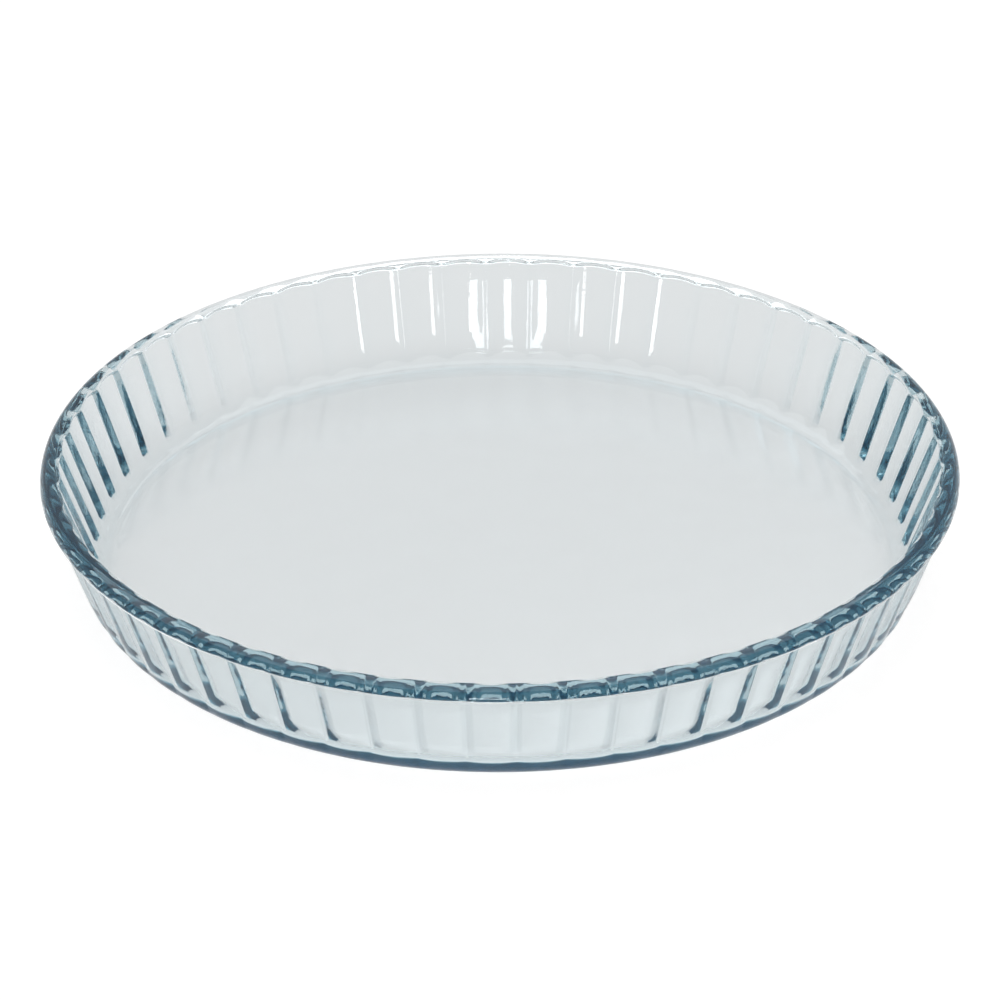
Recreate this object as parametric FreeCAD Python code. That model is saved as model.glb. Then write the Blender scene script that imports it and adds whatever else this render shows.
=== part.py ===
import FreeCAD, Part
import math, os

os.makedirs("parts", exist_ok=True)

# One-piece pressed glass pie dish with a fluted wall, in millimetres.
# The underside of the base is z = 0 and the dish is centred on the Z axis.

# driving sizes
rim_diameter = 280.0        # widest part of the rim
dish_height = 37.0          # underside of the base to the top of the rim
flute_count = 58            # flutes round the wall
wall_lean = 18.8            # degrees the wall leans out from upright
wall_thick = 4.1            # glass between a crease outside and the ridge inside
floor_thick = 4.5
flute_bulge = 0.8           # how far each flute stands out of the crease line
hollow_bulge = 1.6          # how far the inside steps back between two ridges
hollow_full = 3.2           # below the top of the rim, where the hollows have that depth
hollow_end = 1.9            # below the top of the rim, where they have run out
heel_radius = 7.5           # outer rounding between base and wall
foot_radius = 7.5           # inner rounding between floor and wall
rim_height = 3.9            # underside of the rim to its top
rim_lip = 2.3               # rim edge beyond the crease line
rim_inner_round = 1.8       # rounding on the inner edge of the rim
rim_outer_round = 3.4       # rounding on the outer edge of the rim, above
rim_under_bevel = 0.3       # bevel on the outer edge of the rim, below

# sizes that follow
rim_radius = rim_diameter / 2
lean = math.radians(wall_lean)
pitch = 2 * math.pi / flute_count
ledge_z = dish_height - rim_height
turn_steps = 4              # strips round the heel and the foot
lip_steps = 3               # strips over the inner edge of the rim


def crease_radius(z):
    """Radius of the creases outside on the straight part of the wall."""
    return rim_radius - rim_lip - (ledge_z - z) * math.tan(lean)


def ridge_radius(z):
    """Radius of the ridges inside on the straight part of the wall."""
    return crease_radius(z) - wall_thick / math.cos(lean)


def fade(part):
    """Smooth change from 0 to 1."""
    return part * part * (3 - 2 * part)


def point(radius, angle, z):
    return FreeCAD.Vector(radius * math.cos(angle), radius * math.sin(angle), z)


def ring(radius, z, bulge):
    """Closed wire round the dish at one height: an arc for each flute, standing out by bulge."""
    arcs = []
    for i in range(flute_count):
        start, middle, end = i * pitch, (i + 0.5) * pitch, (i + 1) % flute_count * pitch
        arc = Part.Arc(point(radius, start, z), point(radius + bulge, middle, z), point(radius, end, z))
        arcs.append(arc.toShape())
    return Part.Wire(arcs)


def rounding(wall, base, radius, bulge):
    """Rings of the turn from a level surface at height base up into the leaning wall."""
    start = wall(base) + radius * (math.tan(lean) - 1 / math.cos(lean))
    rings = []
    for i in range(turn_steps + 1):
        turn = (math.pi / 2 - lean) * i / turn_steps
        rings.append(ring(start + radius * math.sin(turn), base + radius * (1 - math.cos(turn)),
                          bulge * fade(i / turn_steps)))
    return rings


def lip_rounding():
    """Rings over the inner edge of the rim, from the wall to the level top."""
    centre_z = dish_height - rim_inner_round
    centre_r = ridge_radius(centre_z) + rim_inner_round / math.cos(lean)
    rings = []
    for i in range(lip_steps + 1):
        turn = lean + (math.pi / 2 - lean) * i / lip_steps
        rings.append(ring(centre_r - rim_inner_round * math.cos(turn),
                          centre_z + rim_inner_round * math.sin(turn), 0))
    return rings


def hollow_tops():
    """Rings between which the hollows of the inside run out, below the rim."""
    full_z, end_z = dish_height - hollow_full, dish_height - hollow_end
    return [ring(ridge_radius(full_z), full_z, hollow_bulge), ring(ridge_radius(end_z), end_z, 0)]


def skin(rings):
    """Straight strips of surface from each ring to the next."""
    return Part.makeLoft(rings, False, True).Faces


def rim_band():
    """Outer edge of the rim: a bevel below, an upright side and a rounding over the top."""
    over, bevel, s = rim_outer_round, rim_under_bevel, math.sqrt(0.5)
    low = point(rim_radius - bevel, 0, ledge_z)
    side_low = point(rim_radius, 0, ledge_z + bevel)
    side_high = point(rim_radius, 0, dish_height - over)
    top_mid = point(rim_radius - over + over * s, 0, dish_height - over + over * s)
    top = point(rim_radius - over, 0, dish_height)
    profile = Part.Wire([Part.makeLine(low, side_low), Part.makeLine(side_low, side_high),
                         Part.Arc(side_high, top_mid, top).toShape()])
    return profile.revolve(FreeCAD.Vector(0, 0, 0), FreeCAD.Vector(0, 0, 1), 360).Faces


def circle(radius, z):
    return Part.Wire(Part.makeCircle(radius, FreeCAD.Vector(0, 0, z)))


def flat(outline, hole):
    """Level face between two closed wires."""
    return Part.makeFace([outline, hole], "Part::FaceMakerCheese").Faces


def dish():
    """The whole dish as one closed skin of glass."""
    heel = rounding(crease_radius, 0, heel_radius, flute_bulge)
    ledge = ring(crease_radius(ledge_z), ledge_z, flute_bulge)
    foot = rounding(ridge_radius, floor_thick, foot_radius, hollow_bulge)
    lip = lip_rounding()
    faces = skin(heel + [ledge]) + skin(foot + hollow_tops() + lip)
    faces += rim_band() + [Part.Face(heel[0]), Part.Face(foot[0])]
    faces += flat(circle(rim_radius - rim_under_bevel, ledge_z), ledge)
    faces += flat(circle(rim_radius - rim_outer_round, dish_height), lip[-1])
    shell = Part.makeShell(faces)
    shell.sewShape()
    solid = Part.Solid(shell)
    if solid.Volume < 0:
        solid.reverse()
    return solid


glass_dish = dish()
glass_dish.exportStep("parts/glass_dish.step")
print("glass dish: volume %.0f mm3, %d faces" % (glass_dish.Volume, len(glass_dish.Faces)))
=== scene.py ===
import bpy
import math
import numpy as np
from mathutils import Matrix, Vector


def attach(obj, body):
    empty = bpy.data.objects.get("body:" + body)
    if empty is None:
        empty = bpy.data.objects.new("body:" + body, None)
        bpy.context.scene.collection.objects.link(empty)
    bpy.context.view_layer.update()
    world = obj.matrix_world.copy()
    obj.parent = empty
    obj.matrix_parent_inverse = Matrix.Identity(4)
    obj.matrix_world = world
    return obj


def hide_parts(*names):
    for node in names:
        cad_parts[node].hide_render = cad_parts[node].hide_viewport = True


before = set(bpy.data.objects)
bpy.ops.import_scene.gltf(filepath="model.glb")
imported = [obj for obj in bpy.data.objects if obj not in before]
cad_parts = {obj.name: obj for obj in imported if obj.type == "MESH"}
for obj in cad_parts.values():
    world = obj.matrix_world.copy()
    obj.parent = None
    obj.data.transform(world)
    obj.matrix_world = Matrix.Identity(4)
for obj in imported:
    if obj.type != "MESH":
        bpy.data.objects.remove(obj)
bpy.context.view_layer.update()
print("frame loaded")

dish = {
    "rimDiameter": 280.0,      # mm, as are all lengths of this dictionary
    "height": 37.0,
    "flutes": 58,
    "wallLean": 18.8,          # degrees out from upright
    "insideLean": 19.6,        # the same for its inner face
    "wallThick": 4.8,          # between a crease outside and the ridge inside
    "floorThick": 4.5,
    "fluteBulge": 0.75,        # how far a flute stands out of its creases
    "fluteShrink": 9.06,       # height above the base over which the flutes run out
    "hollowBulge": 1.36,       # how far the inside steps back between two ridges
    "lipStart": 0.6,           # below the top of the rim, where the hollows end
    "lipArch": 0.89,           # how much lower they end beside the ridges
    "lipGrow": 0.7,            # height of that end
    "hollowEnd": 0.20,         # above the floor, where they have run out
    "hollowShrink": 4.5,       # height over which they do
    "heelRound": 7.56,
    "footRound": 6.06,
    "rimHeight": 3.9,
    "rimLip": 2.06,
    "rimInnerRound": 2.07,
    "rimOuterRound": 3.70,
    "rimEdgeRound": 0.41,      # crisp lower edge of the rim
    "ledgeRound": 0.35,        # where the wall meets the rim's underside
    "creaseRound": 0.037,      # softness of the outer creases, as a part of half a flute
    "ridgeRound": 0.043,       # softness of the inner ridges
    "flutePower": 2.04,        # 2 for a round flute, more for one that is flatter in the middle
    "hollowPower": 2.16,       # the same for the hollows
    "stepsPerFlute": 20,
    "polarRing": 0.6,          # width of the flat ring that leads from each rounding to the flat fan
    "hollowRows": 7.0,         # below the lip, down to which the rows are closer
    "edgeStrip": 0.3,          # strip under the rim beside its lower edge
    "rows": {"turn": 13, "wall": 6, "nook": 4, "edge": 6, "over": 12, "lip": 9, "upper": 16, "lower": 5},
}


mmPerM = 1000


def smoothFade(part):  # 3p2 - 2p3 from 0 to 1, level at both ends
    part = np.clip(part, 0, 1)
    return part * part * (3 - 2 * part)


def arcRows(centre, radius, startTurn, endTurn, steps, kind):  # centre + radius times cos and sin of the turn
    turn = np.linspace(startTurn, endTurn, steps)
    return np.column_stack([
        centre[0] + radius * np.cos(turn), centre[1] + radius * np.sin(turn), np.full(steps, kind),
    ])


def lineRows(start, end, steps, kind):  # start times 1 - part, plus end times part
    part = np.linspace(0, 1, steps)[:, None]
    points = np.array(start) * (1 - part) + np.array(end) * part
    return np.hstack([points, np.full((steps, 1), kind)])


# Section of the glass from under the base, up the outside, over the rim and down to the floor.
# Each row holds radius, height and kind: 0 outside, 1 rim, 2 inside. The radius of a crease is
# the rim's radius less its lip, less the drop below the rim's underside times the tangent of the lean.
def dishProfile(d):
    lean, inside = math.radians(d["wallLean"]), math.radians(d["insideLean"])
    rim, top = d["rimDiameter"] / 2, d["height"]
    ledge = top - d["rimHeight"]
    quarter = math.pi / 2

    def crease(z):
        return rim - d["rimLip"] - (ledge - z) * math.tan(lean)

    def ridge(z):
        return crease(ledge) - d["wallThick"] / math.cos(lean) - (ledge - z) * math.tan(inside)

    slant = math.tan(lean) - 1 / math.cos(lean)
    insideSlant = math.tan(inside) - 1 / math.cos(inside)
    heel, foot, lip, over = d["heelRound"], d["footRound"], d["rimInnerRound"], d["rimOuterRound"]
    edge, nook, count = d["rimEdgeRound"], d["ledgeRound"], d["rows"]
    heelStart = crease(0) + heel * slant
    footStart = ridge(d["floorThick"]) + foot * insideSlant
    lipZ = top - lip
    lipR = ridge(lipZ) + lip / math.cos(inside)
    wallLow = (heelStart + heel * math.cos(lean), heel * (1 - math.sin(lean)))
    nookZ = ledge - nook
    nookR = crease(nookZ) + nook / math.cos(lean)
    wallHigh = (nookR - nook * math.cos(lean), nookZ + nook * math.sin(lean))
    footHigh = (footStart + foot * math.cos(inside), d["floorThick"] + foot * (1 - math.sin(inside)))
    lipLow = (lipR - lip * math.cos(inside), lipZ + lip * math.sin(inside))
    hollowFoot = (ridge(lipZ - d["hollowRows"]), lipZ - d["hollowRows"])
    return np.vstack([
        [[heelStart - d["polarRing"], 0, 0]],
        arcRows((heelStart, heel), heel, -quarter, -lean, count["turn"], 0),
        lineRows(wallLow, wallHigh, count["wall"], 0)[1:],
        arcRows((nookR, nookZ), nook, math.pi - lean, quarter, count["nook"], 0)[1:],
        [[rim - edge - d["edgeStrip"], ledge, 1]],
        arcRows((rim - edge, ledge + edge), edge, -quarter, 0, count["edge"], 1),
        arcRows((rim - over, top - over), over, 0, quarter, count["over"], 1),
        arcRows((lipR, lipZ), lip, quarter, math.pi - inside, count["lip"], 2),
        lineRows(lipLow, hollowFoot, count["upper"], 2)[1:],
        lineRows(hollowFoot, footHigh, count["lower"], 2)[1:],
        arcRows((footStart, d["floorThick"] + foot), foot, -inside, -quarter, count["turn"], 2)[1:],
        [[footStart - d["polarRing"], d["floorThick"], 2]],
    ])


# 1 at the middle of a flute and 0 on the crease: 1 less a power of the distance from the middle,
# where the square root of near squared plus softness squared rounds the sharp crease.
def fluteShape(away, softness, power):
    near = 1 - away
    soft = (np.sqrt(near ** 2 + softness ** 2) - softness) / (math.sqrt(1 + softness ** 2) - softness)
    return 1 - (1 - soft) ** power


# The skin's points: radius of the section plus the depth of the flute there times its shape,
# carried round the axis by cos and sin of the turn.
def dishGrid(d):
    rows = dishProfile(d)
    radius, z, kind = rows[:, :1], rows[:, 1:2], rows[:, 2:]
    steps = d["stepsPerFlute"]
    part = (1 - np.cos(np.pi * np.arange(steps) / steps)) / 2  # closer together at the creases
    turn = ((np.arange(d["flutes"])[:, None] + part) * 2 * np.pi / d["flutes"]).ravel()
    away = np.abs(2 * np.tile(part, d["flutes"]) - 1)          # 0 mid-flute, 1 on the crease
    flute = d["fluteBulge"] * smoothFade(z / d["fluteShrink"])
    below = d["height"] - z
    hollow = d["hollowBulge"] * smoothFade((below - d["lipStart"] - d["lipArch"] * away ** 2) / d["lipGrow"])
    hollow = hollow * smoothFade((z - d["floorThick"] - d["hollowEnd"]) / d["hollowShrink"])
    out = np.select([kind == 0, kind == 2], [
        flute * fluteShape(away, d["creaseRound"], d["flutePower"]),
        hollow * fluteShape(away, d["ridgeRound"], d["hollowPower"])], 0.0)
    radius = radius + out
    z = np.broadcast_to(z, radius.shape)
    return np.stack([radius * np.cos(turn), radius * np.sin(turn), z], axis=2) / mmPerM


def gridMesh(name, grid, lowPole, highPole):  # quads between the rows, and a fan to a pole at each end
    rows, columns = grid.shape[:2]
    index = np.arange(rows * columns).reshape(rows, columns)
    after = np.roll(index, -1, axis=1)
    quads = np.stack([index[:-1], after[:-1], after[1:], index[1:]], axis=2).reshape(-1, 4)
    low, high = rows * columns, rows * columns + 1
    lowFan = np.stack([np.full(columns, low), after[0], index[0]], axis=1)
    highFan = np.stack([np.full(columns, high), index[-1], after[-1]], axis=1)
    points = np.vstack([grid.reshape(-1, 3), [lowPole, highPole]])
    mesh = bpy.data.meshes.new(name)
    mesh.from_pydata(points.tolist(), [], quads.tolist() + lowFan.tolist() + highFan.tolist())
    mesh.update()
    mesh.polygons.foreach_set("use_smooth", np.ones(len(mesh.polygons), bool))
    return mesh


def buildDish():
    grid = dishGrid(dish)
    mesh = gridMesh("glassDish", grid, (0, 0, 0), (0, 0, dish["floorThick"] / mmPerM))
    piece = bpy.data.objects.new("glassDish", mesh)
    bpy.context.scene.collection.objects.link(piece)
    return piece


glass = {
    "ior": 1.474,
    "tint": (0.02, 0.45, 0.575),    # what is left of white, for the volume
    "density": 20.0,                # per metre
    "shadow": (0.915, 0.828, 0.805),  # light that each face of the dish lets through to the floor
    "longest": 20,                  # bounces after which light caught in the glass leaves it
    "waveSize": 0.014,              # m, the slow unevenness of pressed glass
    "waveHeight": 0.00006,
    "waveDetail": 1.0,
    "grainSize": 0.0012,            # m, the fine skin left by the mould
    "grainHeight": 0.00001,
    "grainDetail": 2.0,
    "dullWaves": (0.45, 0.75),      # noise of the waves at which the glass is cleanest and dullest
    "polish": (0.0, 0.012),         # roughness of the cleanest and the dullest patches
    "floorRadius": 0.118,           # m, within which the base is satin
    "floorSatin": 0.12,             # roughness there
    "floorBlend": 0.004,            # m over which the satin sets in
}


def mathNode(nodes, links, kind, first, second):  # one Math node, fed by sockets or plain numbers
    node = nodes.new("ShaderNodeMath")
    node.operation = kind
    for socket, value in zip(node.inputs, (first, second)):
        if isinstance(value, (int, float)):
            socket.default_value = value
        else:
            links.new(value, socket)
    return node.outputs[0]


# Node group: height of slow waves and fine grain, and masks of duller patches and of the flat base.
def pressedSkin():
    group = bpy.data.node_groups.new("pressedSkin", "ShaderNodeTree")
    for name in ("Wave Size", "Wave Height", "Grain Size", "Grain Height", "Floor Radius", "Floor Blend"):
        group.interface.new_socket(name, in_out="INPUT", socket_type="NodeSocketFloat")
    for name in ("Height", "Dull", "Floor"):
        group.interface.new_socket(name, in_out="OUTPUT", socket_type="NodeSocketFloat")
    nodes, links = group.nodes, group.links
    start, end = nodes.new("NodeGroupInput"), nodes.new("NodeGroupOutput")
    place = nodes.new("ShaderNodeTexCoord")
    away = nodes.new("ShaderNodeVectorMath")       # from the middle of the base
    away.operation = "LENGTH"
    links.new(place.outputs["Object"], away.inputs[0])
    inward = mathNode(nodes, links, "SUBTRACT", start.outputs["Floor Radius"], away.outputs["Value"])
    onFloor = nodes.new("ShaderNodeMapRange")      # 0 on the wall, 1 further in
    links.new(start.outputs["Floor Blend"], onFloor.inputs["From Max"])
    links.new(inward, onFloor.inputs["Value"])
    links.new(onFloor.outputs["Result"], end.inputs["Floor"])
    heights = []
    for kind, detail in (("Wave", glass["waveDetail"]), ("Grain", glass["grainDetail"])):
        noise = nodes.new("ShaderNodeTexNoise")
        noise.inputs["Detail"].default_value = detail
        links.new(place.outputs["Object"], noise.inputs["Vector"])
        links.new(mathNode(nodes, links, "DIVIDE", 1, start.outputs[kind + " Size"]), noise.inputs["Scale"])
        centred = mathNode(nodes, links, "SUBTRACT", noise.outputs["Fac"], 0.5)
        heights.append(mathNode(nodes, links, "MULTIPLY", centred, start.outputs[kind + " Height"]))
        if kind == "Wave":
            dull = nodes.new("ShaderNodeMapRange")
            dull.inputs["From Min"].default_value, dull.inputs["From Max"].default_value = glass["dullWaves"]
            links.new(noise.outputs["Fac"], dull.inputs["Value"])
            links.new(dull.outputs["Result"], end.inputs["Dull"])
    links.new(mathNode(nodes, links, "ADD", heights[0], heights[1]), end.inputs["Height"])
    return group


def glassMaterial():
    material = bpy.data.materials.new("tealGlass")
    material.use_nodes = True
    nodes, links = material.node_tree.nodes, material.node_tree.links
    nodes.clear()
    out = nodes.new("ShaderNodeOutputMaterial")
    shader = nodes.new("ShaderNodeBsdfPrincipled")
    shader.inputs["Base Color"].default_value = (1, 1, 1, 1)
    shader.inputs["IOR"].default_value = glass["ior"]
    shader.inputs["Transmission Weight"].default_value = 1
    skin = nodes.new("ShaderNodeGroup")
    skin.node_tree = pressedSkin()
    for name, key in (("Wave Size", "waveSize"), ("Wave Height", "waveHeight"),
                      ("Grain Size", "grainSize"), ("Grain Height", "grainHeight"),
                      ("Floor Radius", "floorRadius"), ("Floor Blend", "floorBlend")):
        skin.inputs[name].default_value = glass[key]
    bump = nodes.new("ShaderNodeBump")
    bump.inputs["Strength"].default_value = 1
    bump.inputs["Distance"].default_value = 1
    links.new(skin.outputs["Height"], bump.inputs["Height"])
    links.new(bump.outputs["Normal"], shader.inputs["Normal"])
    polish = nodes.new("ShaderNodeMapRange")
    polish.inputs["To Min"].default_value, polish.inputs["To Max"].default_value = glass["polish"]
    links.new(skin.outputs["Dull"], polish.inputs["Value"])
    satin = mathNode(nodes, links, "MULTIPLY_ADD", skin.outputs["Floor"], glass["floorSatin"])
    links.new(polish.outputs["Result"], satin.node.inputs[2])
    links.new(satin, shader.inputs["Roughness"])
    through = nodes.new("ShaderNodeBsdfTransparent")
    path = nodes.new("ShaderNodeLightPath")
    ground = nodes.new("ShaderNodeMix")            # a shadow is tinted, light that leaves isn't
    ground.data_type = "RGBA"
    clear, tinted, blended = ground.inputs[6], ground.inputs[7], ground.outputs[2]   # its colour sockets
    clear.default_value = (1, 1, 1, 1)
    tinted.default_value = (*glass["shadow"], 1)
    links.new(path.outputs["Is Shadow Ray"], ground.inputs[0])
    links.new(blended, through.inputs["Color"])
    mix = nodes.new("ShaderNodeMixShader")
    deep = mathNode(nodes, links, "GREATER_THAN", path.outputs["Ray Depth"], glass["longest"])
    leaves = mathNode(nodes, links, "MAXIMUM", path.outputs["Is Shadow Ray"], deep)
    links.new(leaves, mix.inputs["Fac"])
    links.new(shader.outputs["BSDF"], mix.inputs[1])
    links.new(through.outputs["BSDF"], mix.inputs[2])
    links.new(mix.outputs["Shader"], out.inputs["Surface"])
    volume = nodes.new("ShaderNodeVolumeAbsorption")
    volume.inputs["Color"].default_value = (*glass["tint"], 1)
    volume.inputs["Density"].default_value = glass["density"]
    links.new(volume.outputs["Volume"], out.inputs["Volume"])
    return material


piece = buildDish()
piece.data.materials.append(glassMaterial())
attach(piece, "root")
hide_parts("glass_dish")
print("dish built:", len(piece.data.vertices), "points,", len(piece.data.polygons), "faces")

studio = {
    "floorDrop": 0.0003,       # m under the base, so that the two faces don't fight
    "floorSize": 8.0,
    "floorColor": (0.86, 0.86, 0.86),
    "floorGlow": 1.5,          # what the camera sees besides the lit floor
    "glassGlow": 0.85,         # and what the glass sees
    "glowShare": 0.38,         # part of the floor that glows, for camera, glossy and transmission rays
    "worldLight": 0.62,        # soft light from all round
    "background": 1.0,
    "roomBack": 0.78,          # what the glass sees above the table, behind the dish
    "roomTurn": (-0.6, 0.3),   # Y of the direction where the one side changes into the other
    "roomFront": 0.55,         # and on the camera's side
}

lamps = {
    "topBox": {"place": (-0.3, 0.5, 2.0), "aim": (0, 0, 0), "size": (3.2, 3.0), "watts": 34.0},
    "frontBox": {"place": (-0.04, -1.5, 0.27), "aim": (0, 0, 0.02), "size": (0.22, 0.22), "watts": 1.6},
}


def seenDirectly(nodes, links):  # 1 for camera, glossy and transmission rays
    path = nodes.new("ShaderNodeLightPath")
    seen = mathNode(nodes, links, "MAXIMUM", path.outputs["Is Camera Ray"], path.outputs["Is Glossy Ray"])
    return mathNode(nodes, links, "MAXIMUM", seen, path.outputs["Is Transmission Ray"])


def buildFloor():
    half = studio["floorSize"] / 2
    drop = -studio["floorDrop"]
    mesh = bpy.data.meshes.new("floor")
    corners = [(-half, -half, drop), (half, -half, drop), (half, half, drop), (-half, half, drop)]
    mesh.from_pydata(corners, [], [(0, 1, 2, 3)])
    floor = bpy.data.objects.new("floor", mesh)
    bpy.context.scene.collection.objects.link(floor)
    material = bpy.data.materials.new("paleFloor")
    material.use_nodes = True
    nodes, links = material.node_tree.nodes, material.node_tree.links
    nodes.clear()
    out = nodes.new("ShaderNodeOutputMaterial")
    matt = nodes.new("ShaderNodeBsdfDiffuse")
    matt.inputs["Color"].default_value = (*studio["floorColor"], 1)
    glow = nodes.new("ShaderNodeEmission")
    glow.inputs["Color"].default_value = (1, 1, 1, 1)
    path = nodes.new("ShaderNodeLightPath")
    level = nodes.new("ShaderNodeMapRange")
    level.inputs["To Min"].default_value = studio["glassGlow"]
    level.inputs["To Max"].default_value = studio["floorGlow"]
    links.new(path.outputs["Is Camera Ray"], level.inputs["Value"])
    links.new(level.outputs["Result"], glow.inputs["Strength"])
    mix = nodes.new("ShaderNodeMixShader")
    share = mathNode(nodes, links, "MULTIPLY", seenDirectly(nodes, links), studio["glowShare"])
    links.new(share, mix.inputs["Fac"])
    links.new(matt.outputs["BSDF"], mix.inputs[1])
    links.new(glow.outputs["Emission"], mix.inputs[2])
    links.new(mix.outputs["Shader"], out.inputs["Surface"])
    floor.data.materials.append(material)


def buildWorld():
    world = bpy.data.worlds.new("studio")
    bpy.context.scene.world = world
    world.use_nodes = True
    nodes, links = world.node_tree.nodes, world.node_tree.links
    nodes.clear()
    out = nodes.new("ShaderNodeOutputWorld")
    light = nodes.new("ShaderNodeBackground")      # lights the scene evenly
    light.inputs["Strength"].default_value = studio["worldLight"]
    room = nodes.new("ShaderNodeBackground")       # what the glass shows: pale behind, darker in front
    place = nodes.new("ShaderNodeTexCoord")
    split = nodes.new("ShaderNodeSeparateXYZ")
    links.new(place.outputs["Generated"], split.inputs[0])
    ramp = nodes.new("ShaderNodeMapRange")
    ramp.interpolation_type = "SMOOTHSTEP"
    ramp.inputs["From Min"].default_value, ramp.inputs["From Max"].default_value = studio["roomTurn"]
    ramp.inputs["To Min"].default_value = studio["roomFront"]
    ramp.inputs["To Max"].default_value = studio["roomBack"]
    links.new(split.outputs["Y"], ramp.inputs["Value"])
    links.new(ramp.outputs["Result"], room.inputs["Strength"])
    back = nodes.new("ShaderNodeBackground")
    back.inputs["Strength"].default_value = studio["background"]
    path = nodes.new("ShaderNodeLightPath")
    glassSees = nodes.new("ShaderNodeMixShader")
    links.new(seenDirectly(nodes, links), glassSees.inputs["Fac"])
    links.new(light.outputs[0], glassSees.inputs[1])
    links.new(room.outputs[0], glassSees.inputs[2])
    mix = nodes.new("ShaderNodeMixShader")
    links.new(path.outputs["Is Camera Ray"], mix.inputs["Fac"])
    links.new(glassSees.outputs[0], mix.inputs[1])
    links.new(back.outputs[0], mix.inputs[2])
    links.new(mix.outputs[0], out.inputs["Surface"])


def buildLamps():
    for name, lamp in lamps.items():
        data = bpy.data.lights.new(name, "AREA")
        data.shape = "RECTANGLE"
        data.size, data.size_y = lamp["size"]
        data.energy = lamp["watts"]
        box = bpy.data.objects.new(name, data)
        bpy.context.scene.collection.objects.link(box)
        box.location = lamp["place"]
        box.rotation_euler = (Vector(lamp["aim"]) - Vector(lamp["place"])).to_track_quat("-Z", "Y").to_euler()


bounces = {"all": 40, "caught": 32}  # light stays in the rim and the wall for many bounces

camera = {
    "elevation": 28.784,     # degrees
    "azimuth": -88.793,      # degrees round from +X, so that the creases fall as they do in the photograph
    "distance": 1.4608,      # m from the target
    "target": (0, 0, 0.032),
    "lens": 172.066,         # mm, and the width of the sensor
    "sensor": 36,
    "tip": 0.398,            # degrees below the target
    "roll": -0.27,           # degrees
}


def buildCamera():
    data = bpy.data.cameras.new("camera")
    data.lens, data.sensor_width = camera["lens"], camera["sensor"]
    eye = bpy.data.objects.new("camera", data)
    bpy.context.scene.collection.objects.link(eye)
    around, up = math.radians(camera["azimuth"]), math.radians(camera["elevation"])
    target = Vector(camera["target"])
    out = Vector((math.cos(up) * math.cos(around), math.cos(up) * math.sin(around), math.sin(up)))
    place = target + out * camera["distance"]
    turn = (-out).to_track_quat("-Z", "Y").to_matrix()
    tip = Matrix.Rotation(-math.radians(camera["tip"]), 3, "X")
    roll = Matrix.Rotation(math.radians(camera["roll"]), 3, "Z")
    eye.matrix_world = Matrix.Translation(place) @ (turn @ tip @ roll).to_4x4()
    bpy.context.scene.camera = eye


buildFloor()
buildWorld()
buildLamps()
buildCamera()
bpy.context.scene.view_settings.view_transform = "Standard"
paths = bpy.context.scene.cycles
paths.max_bounces = bounces["all"]
paths.glossy_bounces = paths.transmission_bounces = bounces["caught"]
print("studio built")
